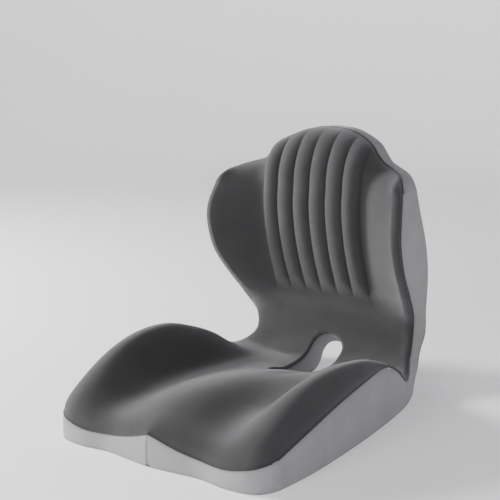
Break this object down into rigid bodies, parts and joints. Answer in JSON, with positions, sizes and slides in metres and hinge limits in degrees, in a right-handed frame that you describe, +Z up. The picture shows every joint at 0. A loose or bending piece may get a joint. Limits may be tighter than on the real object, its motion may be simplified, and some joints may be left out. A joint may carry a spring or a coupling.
{
  "type": "seat cushion",
  "caption": "Contoured posture seat cushion with a ribbed, winged back support, a tailbone cut-out and a zipped cloth cover.",
  "frame": {"origin": "under the middle of the cushion, on the surface that it stands on", "axes": "+Z up, +Y from the front edge towards the back support, +X to the right of a person looking along +Y"},
  "size_m": [0.3798, 0.5, 0.417],
  "materials": {
    "foam": "open-cell cushion foam, matte",
    "face_cloth": "dark grey soft knit with a faint sheen",
    "band_cloth": "light grey soft knit, matte",
    "base_cloth": "dark non-slip cloth with small rubber dots",
    "zip_tape": "woven tape",
    "zip_teeth": "moulded nylon teeth",
    "zip_metal": "nickel-plated metal"
  },
  "bodies": {
    "seat": {"seat_foam": "foam", "seat_face_cover": "face_cloth", "seat_side_band_left": "band_cloth", "seat_side_band_right": "band_cloth", "cutout_lining": "band_cloth", "base_panel": "base_cloth", "heel_panel": "band_cloth"},
    "backrest": {"back_foam": "foam", "back_face_cover": "face_cloth", "back_side_band_left": "band_cloth", "back_side_band_right": "band_cloth", "rear_panel": "band_cloth", "zip_tape_upper": "zip_tape", "zip_tape_lower": "zip_tape", "zip_teeth_upper": "zip_teeth", "zip_teeth_lower": "zip_teeth", "zip_stop_left": "zip_metal", "zip_stop_right": "zip_metal"},
    "zip_slider": {"zip_slider": "zip_metal"},
    "zip_pull": {"zip_pull": "zip_metal"}
  },
  "joints": [
    {"name": "back_flex", "type": "hinge", "parent": "seat", "child": "backrest", "pos_m": [0, 0.236, 0.086], "axis": [-1, 0, 0], "range_deg": [-5.5, 11.5], "stiffness_Nm_per_rad": 45},
    {"name": "zip_slide", "type": "slide", "parent": "backrest", "child": "zip_slider", "axis": [-1, 0, 0], "range_m": [0, 0.17]},
    {"name": "zip_pull_swing", "type": "hinge", "parent": "zip_slider", "child": "zip_pull", "pos_m": [0.086, 0.249, 0.102], "axis": [0, 0, -1], "range_deg": [0, 115]}
  ]
}
